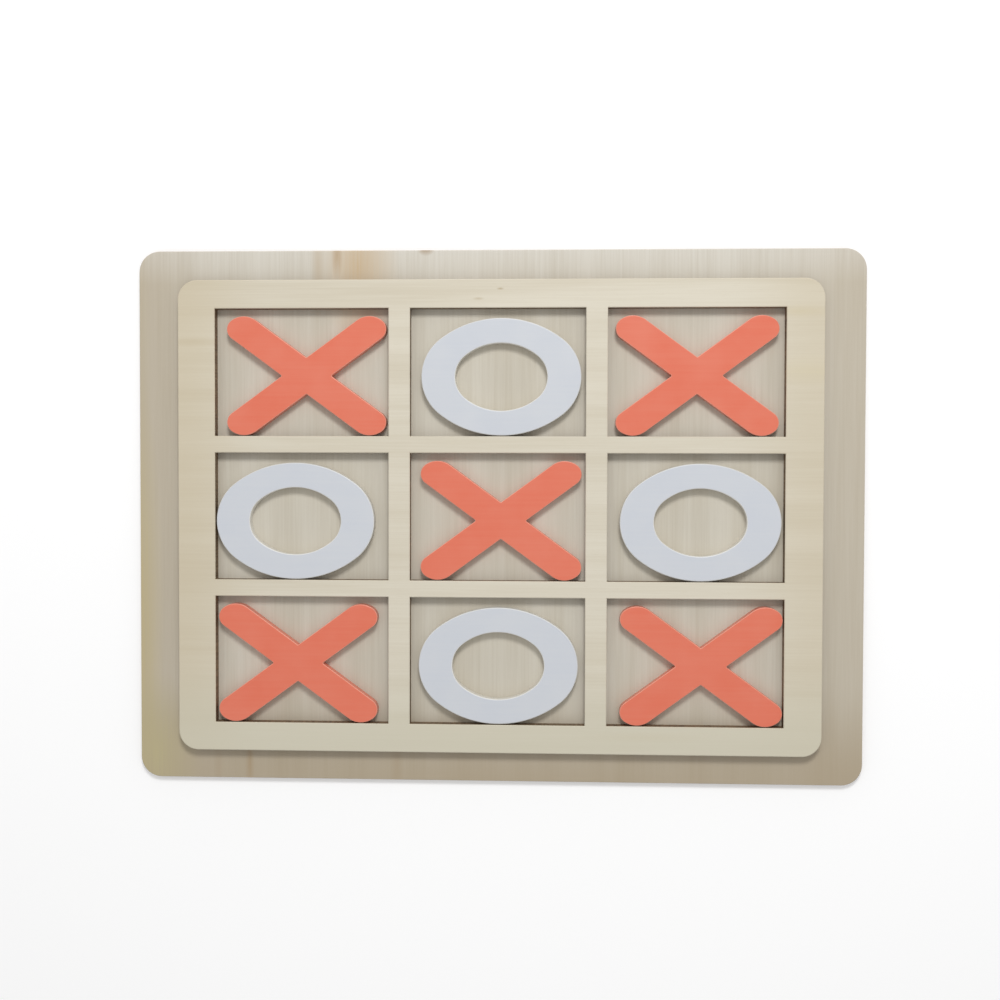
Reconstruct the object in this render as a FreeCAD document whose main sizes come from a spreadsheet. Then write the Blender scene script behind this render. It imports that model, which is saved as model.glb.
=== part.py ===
"""Wooden tic tac toe set, 300 x 220 x 8 mm, as a parametric document in millimetres.

A thin plywood base board carries a grid frame, laser cut in one piece and glued down flat. The
nine open cells of the frame hold five crosses and four rings. These nine playing pieces lie loose
and lift straight out of their cells.

+X runs along the long side of the board, +Y along its short side and +Z up. The origin is the
middle of the underside of the base board.
"""
import FreeCAD, Part
import math
import os
import Sketcher
from FreeCAD import Vector
from Sketcher import Constraint

# The driving dimensions: name, value in millimetres, and what it measures.
SIZES = [
    ("board_width", 300.0, "base board, long side"),
    ("board_depth", 220.0, "base board, short side"),
    ("board_thickness", 3.0, "base board"),
    ("board_corner", 8.6, "corner radius of the base board"),
    ("frame_thickness", 5.0, "grid frame"),
    ("frame_corner", 8.0, "corner radius of the grid frame"),
    ("cell_width", 72.1, "open cell, along X"),
    ("cell_depth", 52.5, "open cell, along Y"),
    ("column_bar", 8.9, "bar between two columns of cells"),
    ("row_bar", 6.9, "bar between two rows of cells"),
    ("side_rail", 15.4, "left and right rails of the frame"),
    ("end_rail", 11.7, "front and back rails of the frame"),
    ("wood_edge_bevel", 0.3, "sanded edges of the board and the frame"),
    ("piece_thickness", 4.6, "crosses and rings"),
    ("piece_edge_bevel", 0.45, "softened top edges of the crosses and rings"),
    ("cross_width", 66.2, "cross, along X"),
    ("cross_depth", 49.1, "cross, along Y"),
    ("arm_width", 12.1, "arm of a cross, square to its length"),
    ("arm_side_radius", 4.67, "end of an arm where it turns to the side"),
    ("arm_tip_radius", 8.66, "end of an arm where it turns to the front or back"),
    ("crotch_round", 0.4, "inner corner between two arms"),
    ("ring_width", 65.7, "ring, along X"),
    ("ring_depth", 48.2, "ring, along Y"),
    ("ring_side_radius", 19.45, "ring, left and right ends of the oval"),
    ("hole_width", 37.8, "hole of a ring, along X"),
    ("hole_depth", 27.7, "hole of a ring, along Y"),
    ("hole_side_radius", 11.16, "hole, left and right ends of the oval"),
    ("wall_gap", 0.25, "gap between a piece and the front wall of its cell"),
]

# The playing pieces: label, kind, column and row counted from the middle cell, and how far the
# piece lies to the right of the middle of its cell, in millimetres.
PIECES = [
    ("x_top_left", "cross", -1, 1, 2.05),
    ("o_top", "ring", 0, 1, 1.4),
    ("x_top_right", "cross", 1, 1, 0.2),
    ("o_left", "ring", -1, 0, -2.7),
    ("x_centre", "cross", 0, 0, 1.4),
    ("o_right", "ring", 1, 0, 1.9),
    ("x_bottom_left", "cross", -1, -1, -1.6),
    ("o_bottom", "ring", 0, -1, 0.4),
    ("x_bottom_right", "cross", 1, -1, 2.4),
]

COLUMN_PITCH = "(Sizes.cell_width + Sizes.column_bar)"
ROW_PITCH = "(Sizes.cell_depth + Sizes.row_bar)"
CELLS_A_SIDE = 3
START, END, CENTRE = 1, 2, 3  # the points of a line or an arc, as constraints name them
ORIGIN = (-1, START)
X_AXIS, Y_AXIS = -1, -2
TINY = 1e-4


def make_sheet(document):
    """Puts every driving dimension in a sheet, a row each: what it is, and its named value."""
    sheet = document.addObject("Spreadsheet::Sheet", "Sizes")
    rows = list(SIZES)
    for label, kind, column, row, shift in PIECES:
        rows.append((f"shift_{label}", shift, "sideways from the middle of the cell"))
    for line, (name, value, meaning) in enumerate(rows, start=1):
        sheet.set(f"A{line}", meaning)
        sheet.set(f"B{line}", str(value))
        sheet.setAlias(f"B{line}", name)
    document.recompute()
    return sheet


doc = FreeCAD.newDocument("tic_tac_toe_set")
sizes = make_sheet(doc)


def number(expression):
    """Works out an expression in the sheet's names, in millimetres."""
    return float(sizes.evalExpression(expression))


def new_body(label, left="0", back="0", up="0"):
    """Makes an empty body with its own label and a place that follows the sheet."""
    body = doc.addObject("PartDesign::Body", label)
    body.Label = label
    for axis, expression in zip("xyz", (left, back, up)):
        body.setExpression(f"Placement.Base.{axis}", expression)
    return body


def origin_plane(body, role):
    """Finds one of the body's own origin planes."""
    return next(plane for plane in body.Origin.OriginFeatures if plane.Role == role)


def new_sketch(body, name):
    """Starts a sketch on the body's XY plane."""
    sketch = body.newObject("Sketcher::SketchObject", name)
    sketch.AttachmentSupport = [(origin_plane(body, "XY_Plane"), "")]
    sketch.MapMode = "FlatFace"
    return sketch


def hold(sketch, kind, *points, size):
    """Adds a measure to the sketch that follows an expression in the sheet's names."""
    index = sketch.addConstraint(Constraint(kind, *points, number(size)))
    sketch.setExpression(f"Constraints[{index}]", size)


def draw_rectangle(sketch, width, depth):
    """Draws a rectangle about the sketch's origin."""
    x = number(width) / 2
    y = number(depth) / 2
    corners = [Vector(-x, -y), Vector(x, -y), Vector(x, y), Vector(-x, y)]
    front, right, back, left = [
        sketch.addGeometry(Part.LineSegment(corners[side], corners[(side + 1) % 4]), False)
        for side in range(4)
    ]
    sides = [front, right, back, left]
    for side, following in zip(sides, sides[1:] + sides[:1]):
        sketch.addConstraint(Constraint("Coincident", side, END, following, START))
    for side, direction in zip(sides, ["Horizontal", "Vertical", "Horizontal", "Vertical"]):
        sketch.addConstraint(Constraint(direction, side))
    sketch.addConstraint(Constraint("Symmetric", front, START, back, START, *ORIGIN))
    hold(sketch, "DistanceX", front, START, front, END, size=width)
    hold(sketch, "DistanceY", right, START, right, END, size=depth)


def draw_oval(sketch, width, depth, side_radius):
    """Draws an oval about the sketch's origin: four arcs that run smoothly into each other."""
    half_width = number(width) / 2
    half_depth = number(depth) / 2
    side = number(side_radius)
    reach = half_width - side
    flat_radius = (f"(({width} / 2 - {side_radius})^2 + ({depth} / 2)^2 - {side_radius}^2)"
                   f" / ({depth} - 2 * {side_radius})")
    flat = number(flat_radius)
    turn = math.atan2(flat - half_depth, reach)
    places = [
        (Vector(reach, 0), side, -turn, turn),
        (Vector(0, half_depth - flat), flat, turn, math.pi - turn),
        (Vector(-reach, 0), side, math.pi - turn, math.pi + turn),
        (Vector(0, flat - half_depth), flat, math.pi + turn, 2 * math.pi - turn),
    ]
    arcs = []
    for middle, radius, start, end in places:
        circle = Part.Circle(middle, Vector(0, 0, 1), radius)
        arcs.append(sketch.addGeometry(Part.ArcOfCircle(circle, start, end), False))
    right, back, left, front = arcs
    for arc, following in ((right, back), (back, left), (left, front), (front, right)):
        sketch.addConstraint(Constraint("Coincident", arc, END, following, START))
    # Two arcs meet smoothly where the line through both their centres crosses them.
    spoke_line = Part.LineSegment(sketch.getPoint(back, CENTRE), sketch.getPoint(back, START))
    spoke = sketch.addGeometry(spoke_line, True)
    sketch.addConstraint(Constraint("Coincident", spoke, START, back, CENTRE))
    sketch.addConstraint(Constraint("Coincident", spoke, END, back, START))
    sketch.addConstraint(Constraint("PointOnObject", right, CENTRE, spoke))
    sketch.addConstraint(Constraint("Symmetric", right, END, right, START, X_AXIS))
    sketch.addConstraint(Constraint("Symmetric", right, END, left, START, Y_AXIS))
    sketch.addConstraint(Constraint("Symmetric", right, END, left, END, *ORIGIN))
    sketch.addConstraint(Constraint("PointOnObject", right, CENTRE, X_AXIS))
    sketch.addConstraint(Constraint("Equal", right, left))
    sketch.addConstraint(Constraint("Equal", back, front))
    hold(sketch, "Radius", right, size=side_radius)
    hold(sketch, "Radius", back, size=flat_radius)
    hold(sketch, "DistanceX", *ORIGIN, right, CENTRE, size=f"{width} / 2 - {side_radius}")


def draw_arm(sketch):
    """Draws one arm of a cross: two straight sides, and ends that turn in two arcs each.

    Each end turns tightly to the side of the cross and gently to its front or back, so the ends
    of both arms sit squarely in the corners of a cell that is wider than it is deep.
    """
    side_x = number("Sizes.cross_width / 2 - Sizes.arm_side_radius")
    tip_y = number("Sizes.cross_depth / 2 - Sizes.arm_tip_radius")
    side_radius = number("Sizes.arm_side_radius")
    tip_radius = number("Sizes.arm_tip_radius")
    slope = math.atan2(number("Sizes.cross_depth"), number("Sizes.cross_width"))
    joint = math.pi / 2 - slope
    apart = tip_radius - side_radius
    side_middle = Vector(side_x, tip_y + apart * math.sin(joint))
    tip_middle = Vector(side_x - apart * math.cos(joint), tip_y)
    ends = []
    for turned in (0, math.pi):
        facing = 1 if turned == 0 else -1
        places = [
            (side_middle * facing, side_radius, slope - math.pi / 2, joint),
            (tip_middle * facing, tip_radius, joint, slope + math.pi / 2),
        ]
        arcs = []
        for middle, radius, start, end in places:
            circle = Part.Circle(middle, Vector(0, 0, 1), radius)
            arc = Part.ArcOfCircle(circle, start + turned, end + turned)
            arcs.append(sketch.addGeometry(arc, False))
        sketch.addConstraint(Constraint("Tangent", arcs[0], END, arcs[1], START))
        ends.append(arcs)
    (far_side, far_tip), (near_side, near_tip) = ends
    edges = []
    for leaving, arriving in ((far_tip, near_side), (near_tip, far_side)):
        line = Part.LineSegment(sketch.getPoint(leaving, END), sketch.getPoint(arriving, START))
        edge = sketch.addGeometry(line, False)
        sketch.addConstraint(Constraint("Tangent", leaving, END, edge, START))
        sketch.addConstraint(Constraint("Tangent", edge, END, arriving, START))
        edges.append(edge)
    sketch.addConstraint(Constraint("Symmetric", far_side, CENTRE, near_side, CENTRE, *ORIGIN))
    sketch.addConstraint(Constraint("Symmetric", far_tip, CENTRE, near_tip, CENTRE, *ORIGIN))
    sketch.addConstraint(Constraint("Equal", far_side, near_side))
    hold(sketch, "Radius", far_side, size="Sizes.arm_side_radius")
    hold(sketch, "Radius", far_tip, size="Sizes.arm_tip_radius")
    hold(sketch, "DistanceX", *ORIGIN, far_side, CENTRE,
         size="Sizes.cross_width / 2 - Sizes.arm_side_radius")
    hold(sketch, "DistanceY", *ORIGIN, far_tip, CENTRE,
         size="Sizes.cross_depth / 2 - Sizes.arm_tip_radius")
    hold(sketch, "Distance", edges[0], START, edges[1], size="Sizes.arm_width")


def pad(body, sketch, name, height):
    """Raises a sketch to a height along +Z."""
    feature = body.newObject("PartDesign::Pad", name)
    feature.Profile = sketch
    feature.setExpression("Length", height)
    doc.recompute()
    return feature


def dress_edges(body, base, kind, name, size, chosen):
    """Fillets or chamfers the edges of a feature that pass a test, which is given each edge."""
    edges = [f"Edge{place}" for place, edge in enumerate(base.Shape.Edges, 1) if chosen(edge)]
    feature = body.newObject(f"PartDesign::{kind}", name)
    feature.Base = (base, edges)
    feature.setExpression({"Fillet": "Radius", "Chamfer": "Size"}[kind], size)
    doc.recompute()
    return feature


def is_upright(edge):
    """Says whether an edge is a straight line along Z."""
    box = edge.BoundBox
    return box.XLength < TINY and box.YLength < TINY


def lies_at(edge, height):
    """Says whether a whole edge lies in the level plane at a height."""
    box = edge.BoundBox
    return abs(box.ZMin - height) < TINY and abs(box.ZMax - height) < TINY


def make_base_board():
    """Makes the thin board that everything lies on, with rounded corners and sanded edges."""
    body = new_body("base_board")
    outline = new_sketch(body, "board_outline")
    draw_rectangle(outline, "Sizes.board_width", "Sizes.board_depth")
    plate = pad(body, outline, "board", "Sizes.board_thickness")
    cornered = dress_edges(body, plate, "Fillet", "board_corners", "Sizes.board_corner", is_upright)
    dress_edges(body, cornered, "Chamfer", "board_edges", "Sizes.wood_edge_bevel",
                lambda edge: not is_upright(edge))
    return body


def make_grid_frame():
    """Makes the frame: a cornered plate with a three by three grid of cells cut through it."""
    body = new_body("grid_frame", up="Sizes.board_thickness")
    outline = new_sketch(body, "frame_outline")
    width = "3 * Sizes.cell_width + 2 * Sizes.column_bar + 2 * Sizes.side_rail"
    depth = "3 * Sizes.cell_depth + 2 * Sizes.row_bar + 2 * Sizes.end_rail"
    draw_rectangle(outline, width, depth)
    plate = pad(body, outline, "frame", "Sizes.frame_thickness")
    dress_edges(body, plate, "Fillet", "frame_corners", "Sizes.frame_corner", is_upright)

    cell = new_sketch(body, "first_cell")
    draw_rectangle(cell, "Sizes.cell_width", "Sizes.cell_depth")
    cell.setExpression("AttachmentOffset.Base.x", f"-{COLUMN_PITCH}")
    cell.setExpression("AttachmentOffset.Base.y", f"-{ROW_PITCH}")
    cut = body.newObject("PartDesign::Pocket", "cell_cut")
    cut.Profile = cell
    cut.Type = "ThroughAll"
    cut.Reversed = True
    doc.recompute()

    cells = body.newObject("PartDesign::LinearPattern", "cells")
    cells.Originals = [cut]
    cells.Direction = (cell, ["H_Axis"])
    cells.Direction2 = (cell, ["V_Axis"])
    cells.Occurrences = CELLS_A_SIDE
    cells.Occurrences2 = CELLS_A_SIDE
    cells.setExpression("Length", f"{CELLS_A_SIDE - 1} * {COLUMN_PITCH}")
    cells.setExpression("Length2", f"{CELLS_A_SIDE - 1} * {ROW_PITCH}")
    body.Tip = cells
    doc.recompute()

    top = number("Sizes.frame_thickness")
    dress_edges(body, cells, "Chamfer", "frame_edges", "Sizes.wood_edge_bevel",
                lambda edge: lies_at(edge, top))
    return body


def make_cross(label, *place):
    """Makes a cross: one arm, its mirror image, soft inner corners and rounded edges."""
    body = new_body(label, *place)
    outline = new_sketch(body, f"{label}_arm_outline")
    draw_arm(outline)
    arm = pad(body, outline, f"{label}_arm", "Sizes.piece_thickness")
    both = body.newObject("PartDesign::Mirrored", f"{label}_both_arms")
    both.Originals = [arm]
    both.MirrorPlane = (origin_plane(body, "YZ_Plane"), [""])
    body.Tip = both
    doc.recompute()

    near_middle = number("Sizes.arm_width")
    softened = dress_edges(
        body, both, "Fillet", f"{label}_crotches", "Sizes.crotch_round",
        lambda edge: is_upright(edge) and abs(edge.Vertexes[0].X) < near_middle)
    top = number("Sizes.piece_thickness")
    dress_edges(body, softened, "Chamfer", f"{label}_edges", "Sizes.piece_edge_bevel",
                lambda edge: lies_at(edge, top))
    return body


def make_ring(label, *place):
    """Makes a ring: an oval plate with an oval hole and rounded edges."""
    body = new_body(label, *place)
    outline = new_sketch(body, f"{label}_outline")
    draw_oval(outline, "Sizes.ring_width", "Sizes.ring_depth", "Sizes.ring_side_radius")
    draw_oval(outline, "Sizes.hole_width", "Sizes.hole_depth", "Sizes.hole_side_radius")
    ring = pad(body, outline, f"{label}_ring", "Sizes.piece_thickness")
    top = number("Sizes.piece_thickness")
    dress_edges(body, ring, "Chamfer", f"{label}_edges", "Sizes.piece_edge_bevel",
                lambda edge: lies_at(edge, top))
    return body


def make_piece(label, kind, column, row):
    """Makes one playing piece in its cell, where it lies against the cell's front wall."""
    make = {"cross": make_cross, "ring": make_ring}[kind]
    left = f"{column} * {COLUMN_PITCH} + Sizes.shift_{label}"
    back = (f"{row} * {ROW_PITCH} - Sizes.cell_depth / 2 + Sizes.wall_gap"
            f" + Sizes.{kind}_depth / 2")
    return make(label, left, back, "Sizes.board_thickness")


def check(bodies):
    """Stops if a feature failed, a sketch is loose or a sub-part is not one valid solid."""
    for item in doc.Objects:
        if "Invalid" in item.State or "Error" in item.State:
            raise RuntimeError(f"{item.Label} failed")
        if item.isDerivedFrom("Sketcher::SketchObject") and not item.FullyConstrained:
            raise RuntimeError(f"{item.Label} is not fully constrained")
    for body in bodies:
        shape = body.Shape
        if shape.isNull() or not shape.isValid() or len(shape.Solids) != 1:
            raise RuntimeError(f"{body.Label} is not one valid solid")
    frame = bodies[1].Shape
    cells = CELLS_A_SIDE ** 2 * number("Sizes.cell_width * Sizes.cell_depth")
    plate = frame.BoundBox.XLength * frame.BoundBox.YLength
    if frame.Volume > (plate - cells) * number("Sizes.frame_thickness"):
        raise RuntimeError("the cells were not cut")


def main():
    """Builds every sub-part and writes each to its own file."""
    bodies = [make_base_board(), make_grid_frame()]
    for label, kind, column, row, shift in PIECES:
        bodies.append(make_piece(label, kind, column, row))
    doc.recompute()
    check(bodies)
    os.makedirs("parts", exist_ok=True)
    for body in bodies:
        body.Shape.exportStep(f"parts/{body.Label}.step")
        box = body.Shape.optimalBoundingBox()
        print(f"{body.Label}: {box.XLength:.2f} x {box.YLength:.2f} x {box.ZLength:.2f} mm")


main()
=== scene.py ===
import math

import bmesh
import bpy
from mathutils import Matrix, Vector


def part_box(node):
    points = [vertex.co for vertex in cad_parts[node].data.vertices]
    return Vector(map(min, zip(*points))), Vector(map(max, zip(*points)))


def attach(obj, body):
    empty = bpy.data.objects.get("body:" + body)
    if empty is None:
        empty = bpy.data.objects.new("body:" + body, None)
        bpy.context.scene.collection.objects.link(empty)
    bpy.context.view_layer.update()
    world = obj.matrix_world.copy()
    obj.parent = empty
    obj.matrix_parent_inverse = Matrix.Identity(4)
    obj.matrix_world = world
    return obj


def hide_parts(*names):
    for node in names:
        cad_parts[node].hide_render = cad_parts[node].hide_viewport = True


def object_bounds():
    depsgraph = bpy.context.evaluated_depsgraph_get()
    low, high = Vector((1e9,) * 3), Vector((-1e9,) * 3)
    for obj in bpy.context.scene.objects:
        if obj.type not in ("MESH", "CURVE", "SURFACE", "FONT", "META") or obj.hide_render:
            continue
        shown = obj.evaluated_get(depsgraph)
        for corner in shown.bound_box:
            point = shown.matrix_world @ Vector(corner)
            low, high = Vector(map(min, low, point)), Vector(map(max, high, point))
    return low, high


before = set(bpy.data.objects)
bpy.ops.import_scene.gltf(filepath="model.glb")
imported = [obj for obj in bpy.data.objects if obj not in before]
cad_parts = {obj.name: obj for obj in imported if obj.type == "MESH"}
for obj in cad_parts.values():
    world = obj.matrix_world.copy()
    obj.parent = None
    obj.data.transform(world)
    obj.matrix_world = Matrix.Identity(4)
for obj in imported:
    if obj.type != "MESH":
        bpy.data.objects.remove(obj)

cad_low, cad_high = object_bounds()

MM = 0.001
UP = Vector((0, 0, 1))
CROSSES = ["x_top_left", "x_top_right", "x_centre", "x_bottom_left", "x_bottom_right"]
RINGS = ["o_top", "o_left", "o_right", "o_bottom"]

# Painted edges: how far they are rounded, in millimetres, and in how many steps.
TOP_ROUND, TOP_STEPS = 0.5, 5
BOTTOM_ROUND, BOTTOM_STEPS = 0.2, 2

# Painted shade at the margins of the plywood sheets: width in millimetres, and how strongly each takes
# its shade colour.
SIDE_MARGIN, LEFT_SHADE, RIGHT_SHADE = 40, 0.55, 0.4
FRONT_MARGIN, FRONT_SHADE = 45, 0.75

# Half of a glue line, in millimetres: its dark core, and where it has faded out.
GLUE_CORE, GLUE_FADE = 0.05, 0.16

# A streak goes right through its sheet, so its reach upwards has no limit.
NO_LIMIT = 1000

# Floor: half of its side in metres, and its gap under the board in millimetres.
FLOOR_HALF, FLOOR_GAP = 12, 0.05

# Key lamp: its distance from the set, in metres.
KEY_DISTANCE = 1.0


def linear(code):
    """An sRGB hex value as a linear colour with full opacity."""
    parts = [int(code[i:i + 2], 16) / 255 for i in (1, 3, 5)]
    return [p / 12.92 if p <= 0.04045 else ((p + 0.055) / 1.055) ** 2.4 for p in parts] + [1.0]


def per(millimetres):
    """The pattern scale whose features are that long."""
    return 1 / (millimetres * MM)


def add(tree, kind, settings=None, inputs=None):
    """A node with its settings, its fixed inputs and its links."""
    made = tree.nodes.new(kind)
    for name, value in (settings or {}).items():
        setattr(made, name, value)
    for socket, value in (inputs or {}).items():
        if isinstance(value, bpy.types.NodeSocket):
            tree.links.new(value, made.inputs[socket])
        else:
            made.inputs[socket].default_value = value
    return made


def new_material(name):
    """An empty node material and its tree."""
    material = bpy.data.materials.new(name)
    material.use_nodes = True
    material.node_tree.nodes.clear()
    return material, material.node_tree


# Birch plywood, sanded flat and cut by laser. The faces give the eye a pale cream veneer with
# hair-fine grain, wide faint bands, margins darkened with painted shade and a few soft streaks,
# among them painted light on the board: a pale band of painted reflection across the back margin
# and a darker band of painted shade across the front margin. The cut edges are scorched brown,
# and show the glue lines between the plies and the fine upright lines of the cut.
# Each streak is its middle x and y, its width across the grain and its length along it, all in
# millimetres, then its strength and its colour.
def birch_plywood(name, node, grain, pale, deep, side_shade, front_shade, plies, streaks):
    material, tree = new_material(name)
    low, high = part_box(node)

    def with_grain(wide, long, tall):
        """X, Y and Z values from those across the grain, along it and upwards."""
        return (wide, long, tall) if grain == "y" else (long, wide, tall)

    place = add(tree, "ShaderNodeTexCoord")
    facing = add(tree, "ShaderNodeSeparateXYZ", None, {0: place.outputs["Normal"]})
    upright = add(tree, "ShaderNodeMath", {"operation": "ABSOLUTE"}, {0: facing.outputs["Z"]})
    is_edge = add(tree, "ShaderNodeMapRange", {"clamp": True},
                  {"Value": upright.outputs[0], "From Min": 0.25, "From Max": 0.6,
                   "To Min": 1.0, "To Max": 0.0})

    # Grain lines are under 0.3 mm wide on birch, and are drawn 0.7 mm wide so that they show.
    stretched = add(tree, "ShaderNodeMapping", None,
                    {"Vector": place.outputs["Object"],
                     "Scale": with_grain(per(0.7), per(38), per(6))})
    lines = add(tree, "ShaderNodeTexNoise", None,
                {"Vector": stretched.outputs[0], "Scale": 1.0, "Detail": 3.0, "Roughness": 0.6,
                 "Distortion": 0.1})
    # Growth bands, about 11 mm wide where the log was peeled.
    stretched = add(tree, "ShaderNodeMapping", None,
                    {"Vector": place.outputs["Object"],
                     "Scale": with_grain(per(11), per(210), per(40))})
    bands = add(tree, "ShaderNodeTexNoise", None,
                {"Vector": stretched.outputs[0], "Scale": 1.0, "Detail": 2.0, "Roughness": 0.5,
                 "Distortion": 0.5})
    # Pores are under 0.1 mm wide, and are drawn as flecks of 0.5 mm so that they show.
    stretched = add(tree, "ShaderNodeMapping", None,
                    {"Vector": place.outputs["Object"],
                     "Scale": with_grain(per(0.5), per(3.2), per(3))})
    pores = add(tree, "ShaderNodeTexNoise", None,
                {"Vector": stretched.outputs[0], "Scale": 1.0, "Detail": 1.0, "Roughness": 0.5})
    fleck = add(tree, "ShaderNodeMapRange", {"clamp": True},
                {"Value": pores.outputs["Fac"], "From Min": 0.64, "From Max": 0.78,
                 "To Min": 0.0, "To Max": 0.3})

    tone = add(tree, "ShaderNodeMix", {"data_type": "FLOAT"},
               {0: 0.6, 2: lines.outputs["Fac"], 3: bands.outputs["Fac"]})
    veneer = add(tree, "ShaderNodeValToRGB", None, {"Fac": tone.outputs[0]})
    veneer.color_ramp.elements[0].position = 0.3
    veneer.color_ramp.elements[0].color = linear(deep)
    veneer.color_ramp.elements[1].position = 0.62
    veneer.color_ramp.elements[1].color = linear(pale)
    colour = add(tree, "ShaderNodeMix", {"data_type": "RGBA"},
                 {0: fleck.outputs[0], 6: veneer.outputs["Color"], 7: linear(deep)})

    # Painted shade: the side and front margins of the sheet are darker than its middle, and the sides
    # yellower.
    spot = add(tree, "ShaderNodeSeparateXYZ", None, {0: place.outputs["Object"]})
    left = add(tree, "ShaderNodeMapRange", {"clamp": True, "interpolation_type": "SMOOTHSTEP"},
               {"Value": spot.outputs["X"], "From Min": low.x, "From Max": low.x + SIDE_MARGIN * MM,
                "To Min": LEFT_SHADE, "To Max": 0.0})
    right = add(tree, "ShaderNodeMapRange", {"clamp": True, "interpolation_type": "SMOOTHSTEP"},
                {"Value": spot.outputs["X"], "From Min": high.x,
                 "From Max": high.x - SIDE_MARGIN * MM, "To Min": RIGHT_SHADE, "To Max": 0.0})
    side_shade_amount = add(tree, "ShaderNodeMath", {"operation": "MAXIMUM"},
                {0: left.outputs[0], 1: right.outputs[0]})
    colour = add(tree, "ShaderNodeMix", {"data_type": "RGBA"},
                 {0: side_shade_amount.outputs[0], 6: colour.outputs[2], 7: linear(side_shade)})
    front = add(tree, "ShaderNodeMapRange", {"clamp": True, "interpolation_type": "SMOOTHSTEP"},
                {"Value": spot.outputs["Y"], "From Min": low.y,
                 "From Max": low.y + FRONT_MARGIN * MM, "To Min": FRONT_SHADE, "To Max": 0.0})
    colour = add(tree, "ShaderNodeMix", {"data_type": "RGBA"},
                 {0: front.outputs[0], 6: colour.outputs[2], 7: linear(front_shade)})

    # A streak is a soft smear that the grain lines break up. On the board two of them are painted
    # light, a band of painted reflection and a band of painted shade.
    for x, y, wide, long, strength, tint in streaks:
        reach = with_grain(wide / 2 * MM, long / 2 * MM, NO_LIMIT)
        centred = add(tree, "ShaderNodeMapping", {"vector_type": "TEXTURE"},
                      {"Vector": place.outputs["Object"], "Location": (x * MM, y * MM, 0),
                       "Scale": reach})
        smear = add(tree, "ShaderNodeTexGradient", {"gradient_type": "SPHERICAL"},
                    {"Vector": centred.outputs[0]})
        broken = add(tree, "ShaderNodeMath", {"operation": "MULTIPLY_ADD"},
                     {0: lines.outputs["Fac"], 1: 1.2 * strength, 2: 0.4 * strength})
        amount = add(tree, "ShaderNodeMath", {"operation": "MULTIPLY", "use_clamp": True},
                     {0: smear.outputs["Fac"], 1: broken.outputs[0]})
        colour = add(tree, "ShaderNodeMix", {"data_type": "RGBA"},
                     {0: amount.outputs[0], 6: colour.outputs[2], 7: linear(tint)})

    # Cut edge: scorched plies 1 mm thick, dark glue lines and upright cutting lines.
    height = add(tree, "ShaderNodeMath", {"operation": "SUBTRACT"}, {0: spot.outputs["Z"], 1: low.z})
    ply = (high.z - low.z) / plies
    to_glue = add(tree, "ShaderNodeMath", {"operation": "PINGPONG"}, {0: height.outputs[0], 1: ply / 2})
    glue = add(tree, "ShaderNodeMapRange", {"clamp": True},
               {"Value": to_glue.outputs[0], "From Min": GLUE_CORE * MM, "From Max": GLUE_FADE * MM,
                "To Min": 1.0, "To Max": 0.0})
    cut_place = add(tree, "ShaderNodeMapping", None,
                    {"Vector": place.outputs["Object"], "Scale": (per(0.8), per(0.8), per(9))})
    cut_lines = add(tree, "ShaderNodeTexNoise", None,
                    {"Vector": cut_place.outputs[0], "Scale": 1.0, "Detail": 3.0, "Roughness": 0.65})
    scorched = add(tree, "ShaderNodeValToRGB", None, {"Fac": cut_lines.outputs["Fac"]})
    scorched.color_ramp.elements[0].position = 0.32
    scorched.color_ramp.elements[0].color = linear("#64513d")
    scorched.color_ramp.elements[1].position = 0.68
    scorched.color_ramp.elements[1].color = linear("#947e62")
    layered = add(tree, "ShaderNodeMix", {"data_type": "RGBA"},
                  {0: glue.outputs[0], 6: scorched.outputs["Color"], 7: linear("#453628")})
    colour = add(tree, "ShaderNodeMix", {"data_type": "RGBA"},
                 {0: is_edge.outputs[0], 6: colour.outputs[2], 7: layered.outputs[2]})

    relief = add(tree, "ShaderNodeMix", {"data_type": "FLOAT"},
                 {0: is_edge.outputs[0], 2: lines.outputs["Fac"], 3: cut_lines.outputs["Fac"]})
    bump = add(tree, "ShaderNodeBump", None,
               {"Strength": 0.15, "Distance": 0.05 * MM, "Height": relief.outputs[0]})
    rough = add(tree, "ShaderNodeMapRange", {"clamp": True},
                {"Value": tone.outputs[0], "From Min": 0.3, "From Max": 0.7,
                 "To Min": 0.68, "To Max": 0.56})
    surface = add(tree, "ShaderNodeBsdfPrincipled", None,
                  {"Base Color": colour.outputs[2], "Roughness": rough.outputs[0],
                   "Normal": bump.outputs[0], "IOR": 1.45, "Specular IOR Level": 0.35})
    add(tree, "ShaderNodeOutputMaterial", None, {"Surface": surface.outputs[0]})
    return material
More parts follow.
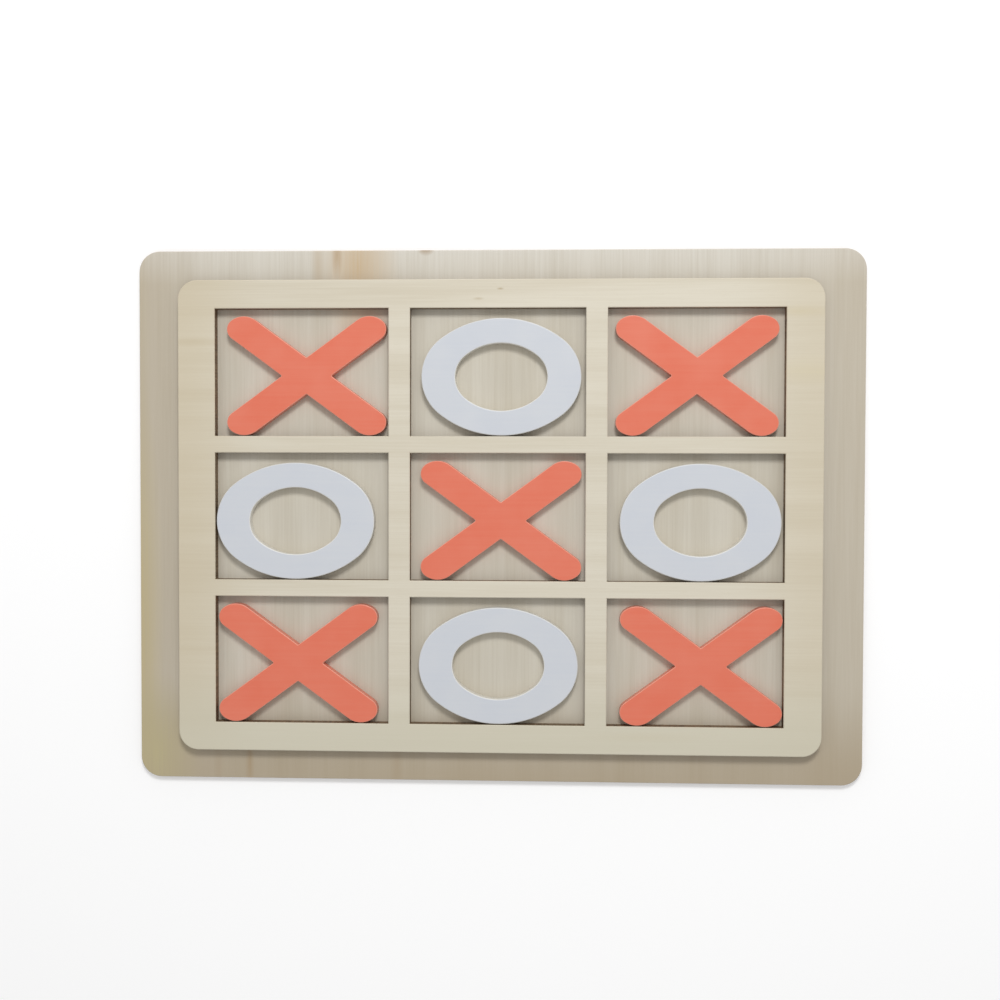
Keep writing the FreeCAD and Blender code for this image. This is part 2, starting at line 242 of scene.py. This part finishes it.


# Water-based acrylic enamel, sprayed on cut plywood in two thin coats. It gives the eye a flat
# even colour with an eggshell sheen, a trace of grain from below, and a lighter line over the
# softened edges, partly where the coat thins and partly a painted highlight. Down the cut side
# the scorched wood dulls it.
def sprayed_enamel(name, body, thin_coat_and_highlight, side, sheen):
    material, tree = new_material(name)
    place = add(tree, "ShaderNodeTexCoord")
    facing = add(tree, "ShaderNodeSeparateXYZ", None, {0: place.outputs["Normal"]})
    upright = add(tree, "ShaderNodeMath", {"operation": "ABSOLUTE"}, {0: facing.outputs["Z"]})
    rim_highlight_mask = add(tree, "ShaderNodeMapRange", {"clamp": True},
                 {"Value": upright.outputs[0], "From Min": 0.985, "From Max": 0.85,
                  "To Min": 0.0, "To Max": 1.0})
    is_side = add(tree, "ShaderNodeMapRange", {"clamp": True},
                  {"Value": upright.outputs[0], "From Min": 0.35, "From Max": 0.05,
                   "To Min": 0.0, "To Max": 1.0})

    # Grain of the veneer below, cloudiness of the coat and its fine orange peel.
    grain_place = add(tree, "ShaderNodeMapping", None,
                      {"Vector": place.outputs["Object"], "Scale": (per(45), per(0.9), per(6))})
    grain = add(tree, "ShaderNodeTexNoise", None,
                {"Vector": grain_place.outputs[0], "Scale": 1.0, "Detail": 2.0, "Roughness": 0.5})
    cloud_place = add(tree, "ShaderNodeMapping", None,
                      {"Vector": place.outputs["Object"], "Scale": (per(14), per(14), per(14))})
    cloud = add(tree, "ShaderNodeTexNoise", None,
                {"Vector": cloud_place.outputs[0], "Scale": 1.0, "Detail": 2.0, "Roughness": 0.5})
    peel_place = add(tree, "ShaderNodeMapping", None,
                     {"Vector": place.outputs["Object"], "Scale": (per(0.8), per(0.8), per(0.8))})
    peel = add(tree, "ShaderNodeTexNoise", None,
               {"Vector": peel_place.outputs[0], "Scale": 1.0, "Detail": 2.0, "Roughness": 0.5})

    coat_tone = add(tree, "ShaderNodeMix", {"data_type": "FLOAT"},
                    {0: 0.6, 2: grain.outputs["Fac"], 3: cloud.outputs["Fac"]})
    coverage = add(tree, "ShaderNodeMapRange", {"clamp": True},
                   {"Value": coat_tone.outputs[0], "From Min": 0.35, "From Max": 0.65,
                    "To Min": 0.0, "To Max": 0.12})
    even = add(tree, "ShaderNodeMix", {"data_type": "RGBA"},
               {0: coverage.outputs[0], 6: linear(body), 7: linear(thin_coat_and_highlight)})
    # Painted highlight: every rounded rim is mixed towards the pale thin-coat colour, partly a coat
    # that thins there and partly light caught on the edge.
    rim_highlight_amount = add(tree, "ShaderNodeMath", {"operation": "MULTIPLY"}, {0: rim_highlight_mask.outputs[0], 1: 0.7})
    with_rim_highlight = add(tree, "ShaderNodeMix", {"data_type": "RGBA"},
                {0: rim_highlight_amount.outputs[0], 6: even.outputs[2], 7: linear(thin_coat_and_highlight)})
    colour = add(tree, "ShaderNodeMix", {"data_type": "RGBA"},
                 {0: is_side.outputs[0], 6: with_rim_highlight.outputs[2], 7: linear(side)})

    relief = add(tree, "ShaderNodeMix", {"data_type": "FLOAT"},
                 {0: 0.5, 2: grain.outputs["Fac"], 3: peel.outputs["Fac"]})
    bump = add(tree, "ShaderNodeBump", None,
               {"Strength": 0.2, "Distance": 0.03 * MM, "Height": relief.outputs[0]})
    rough = add(tree, "ShaderNodeMapRange", {"clamp": True},
                {"Value": cloud.outputs["Fac"], "From Min": 0.3, "From Max": 0.7,
                 "To Min": sheen - 0.04, "To Max": sheen + 0.04})
    surface = add(tree, "ShaderNodeBsdfPrincipled", None,
                  {"Base Color": colour.outputs[2], "Roughness": rough.outputs[0],
                   "Normal": bump.outputs[0], "IOR": 1.48, "Specular IOR Level": 0.4})
    add(tree, "ShaderNodeOutputMaterial", None, {"Surface": surface.outputs[0]})
    return material


def softened_piece(node, body, material):
    """A playing piece from its own outline, with its painted edges rounded over."""
    low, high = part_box(node)
    bm = bmesh.new()
    bm.from_mesh(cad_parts[node].data)
    bmesh.ops.remove_doubles(bm, verts=bm.verts, dist=0.002 * MM)

    # Only the flat underside stays, and is pulled up to the full thickness.
    above = [v for v in bm.verts if v.co.z > low.z + 0.05 * MM]
    bmesh.ops.delete(bm, geom=above, context="VERTS")
    bmesh.ops.dissolve_limit(bm, angle_limit=math.radians(0.5), verts=bm.verts, edges=bm.edges,
                             use_dissolve_boundaries=False)
    lifted = bmesh.ops.extrude_face_region(bm, geom=bm.faces[:])
    top = [v for v in lifted["geom"] if isinstance(v, bmesh.types.BMVert)]
    bmesh.ops.translate(bm, verts=top, vec=UP * (high.z - low.z))
    bmesh.ops.recalc_face_normals(bm, faces=bm.faces)

    rims = [e for e in bm.edges
            if len(e.link_faces) == 2 and abs(e.verts[0].co.z - e.verts[1].co.z) < 0.01 * MM
            and min(abs(f.normal.z) for f in e.link_faces) < 0.5]
    middle = (low.z + high.z) / 2
    upper = [e for e in rims if e.verts[0].co.z > middle]
    lower = [e for e in rims if e.verts[0].co.z < middle]
    bmesh.ops.bevel(bm, geom=upper, offset=TOP_ROUND * MM, offset_type="OFFSET", segments=TOP_STEPS,
                    profile=0.5, affect="EDGES", material=-1, clamp_overlap=True)
    lower = [e for e in lower if e.is_valid]
    bmesh.ops.bevel(bm, geom=lower, offset=BOTTOM_ROUND * MM, offset_type="OFFSET",
                    segments=BOTTOM_STEPS, profile=0.5, affect="EDGES", material=-1,
                    clamp_overlap=True)
    for face in bm.faces:
        face.smooth = True

    mesh = bpy.data.meshes.new(node + "_painted")
    bm.to_mesh(mesh)
    bm.free()
    piece = bpy.data.objects.new(node + "_painted", mesh)
    bpy.context.scene.collection.objects.link(piece)
    mesh.materials.append(material)
    shading = piece.modifiers.new("flat_faces", "WEIGHTED_NORMAL")
    shading.keep_sharp = True
    shading.weight = 100
    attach(piece, body)
    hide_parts(node)


def finish_sheet(node, material):
    """Gives a cut sheet its finish."""
    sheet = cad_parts[node]
    sheet.data.materials.clear()
    sheet.data.materials.append(material)


board_streaks_and_shading = [
    # Painted reflection: a pale band across the back margin of the board.
    (0, 113, 800, 36, 0.6, "#dedad2"),
    (-58, 103, 34, 70, 0.75, "#c4a87f"),
    (-67, 108, 5, 22, 0.65, "#ab8b60"),
    (-75, 104, 6, 50, 0.4, "#b89e78"),
    (-30, 111, 8, 7, 1.0, "#97784f"),
    (-151, -44, 22, 210, 0.7, "#bcac78"),
    (-144, -100, 40, 70, 0.9, "#b8ad88"),
    (-150, 60, 10, 150, 0.3, "#b3a57f"),
    # Painted shade: a faint darker band across the middle of the front margin.
    (10, -112, 190, 18, 0.15, "#a18c6a"),
    (-104, -103, 4.5, 44, 0.36, "#9c7b4c"),
    (-117, -105, 5, 30, 0.17, "#a08563"),
    (-42, -103, 6, 40, 0.2, "#9c8058"),
]
frame_streaks = [
    (-126, 72, 5, 30, 0.25, "#b9a885"),
    (1, 93.4, 1.2, 3.5, 0.7, "#a8946f"),
    (-8, 89.4, 1.4, 5.5, 0.5, "#b09c78"),
    (126, 60, 14, 90, 0.25, "#cbbd94"),
    (122, 84, 6, 34, 0.28, "#c6b68b"),
    (60, -90, 5, 60, 0.12, "#bfae8a"),
]
# The two colours after the veneer colours are the painted shade of the side and front margins.
board_wood = birch_plywood("birch plywood, sanded board", "base_board", "y", "#cec8ba", "#c0b8a7",
                           "#afa088", "#a9997f", 3, board_streaks_and_shading)
frame_wood = birch_plywood("birch plywood, sanded frame", "grid_frame", "x", "#dad3c2", "#cec5b1",
                           "#c6b89b", "#ccc7b3", 5, frame_streaks)
# The second colour is the thin coat, which on the rims is also a painted highlight.
coral = sprayed_enamel("acrylic enamel, sprayed coral", "#e1745a", "#efac97", "#e2836b", 0.34)
white = sprayed_enamel("acrylic enamel, sprayed cool white", "#cbcfd6", "#e6e4dd", "#dad7cf", 0.34)

finish_sheet("base_board", board_wood)
finish_sheet("grid_frame", frame_wood)
for label in CROSSES:
    softened_piece(label, label + "_piece", coral)
for label in RINGS:
    softened_piece(label, label + "_piece", white)

# Plain pale floor just under the board, with a faint glow of its own to keep it white.
floor_mesh = bpy.data.meshes.new("floor")
bm = bmesh.new()
bmesh.ops.create_grid(bm, x_segments=1, y_segments=1, size=FLOOR_HALF)
bmesh.ops.translate(bm, verts=bm.verts, vec=UP * (cad_low.z - FLOOR_GAP * MM))
bm.to_mesh(floor_mesh)
bm.free()
floor = bpy.data.objects.new("floor", floor_mesh)
bpy.context.scene.collection.objects.link(floor)
floor_paint, tree = new_material("matt white floor")
surface = add(tree, "ShaderNodeBsdfPrincipled", None,
              {"Base Color": (0.87, 0.87, 0.87, 1), "Roughness": 0.9, "Specular IOR Level": 0.1,
               "Emission Color": (1, 1, 1, 1), "Emission Strength": 0.18})
add(tree, "ShaderNodeOutputMaterial", None, {"Surface": surface.outputs[0]})
floor_mesh.materials.append(floor_paint)

# Soft key lamp above and behind, in a room that is brightest at the horizon and overhead.
lamp_data = bpy.data.lights.new("key", "AREA")
lamp_data.shape = "DISK"
lamp_data.size = 0.28
lamp_data.energy = 4.8
lamp = bpy.data.objects.new("key", lamp_data)
bpy.context.scene.collection.objects.link(lamp)
toward_lamp = Vector((0.09, 0.58, 0.81)).normalized()
lamp.location = toward_lamp * KEY_DISTANCE
lamp.rotation_euler = (-toward_lamp).to_track_quat("-Z", "Y").to_euler()

room = bpy.data.worlds.new("room")
bpy.context.scene.world = room
room.use_nodes = True
room.node_tree.nodes.clear()
around = add(room.node_tree, "ShaderNodeTexCoord")
height = add(room.node_tree, "ShaderNodeSeparateXYZ", None, {0: around.outputs["Generated"]})
glow = add(room.node_tree, "ShaderNodeValToRGB", None, {"Fac": height.outputs["Z"]})
glow.color_ramp.interpolation = "EASE"
glow.color_ramp.elements[0].position = 0.16
glow.color_ramp.elements[0].color = (0.98, 0.98, 0.98, 1)
glow.color_ramp.elements[1].position = 0.8
glow.color_ramp.elements[1].color = (0.7, 0.7, 0.7, 1)
glow.color_ramp.elements.new(0.42).color = (0.3, 0.3, 0.3, 1)
light = add(room.node_tree, "ShaderNodeBackground", None,
            {"Color": glow.outputs["Color"], "Strength": 1.0})
add(room.node_tree, "ShaderNodeOutputWorld", None, {"Surface": light.outputs[0]})

# Camera: nearly straight above, a little to the right of and behind the middle.
camera_data = bpy.data.cameras.new("camera")
camera_data.lens = 48.1
camera_data.sensor_width = 36
camera = bpy.data.objects.new("camera", camera_data)
bpy.context.scene.collection.objects.link(camera)
camera.location = (26.9 * MM, 21.9 * MM, 554.9 * MM)
aim = Vector((1.08 * MM, 7.08 * MM, 8 * MM))
roll = math.radians(0.146)
back = (camera.location - aim).normalized()
right = Vector((0, 1, 0)).cross(back).normalized()
turn = Matrix((right, back.cross(right), back)).transposed() @ Matrix.Rotation(roll, 3, "Z")
camera.rotation_euler = turn.to_euler()
bpy.context.scene.camera = camera
bpy.context.scene.view_settings.view_transform = "Standard"
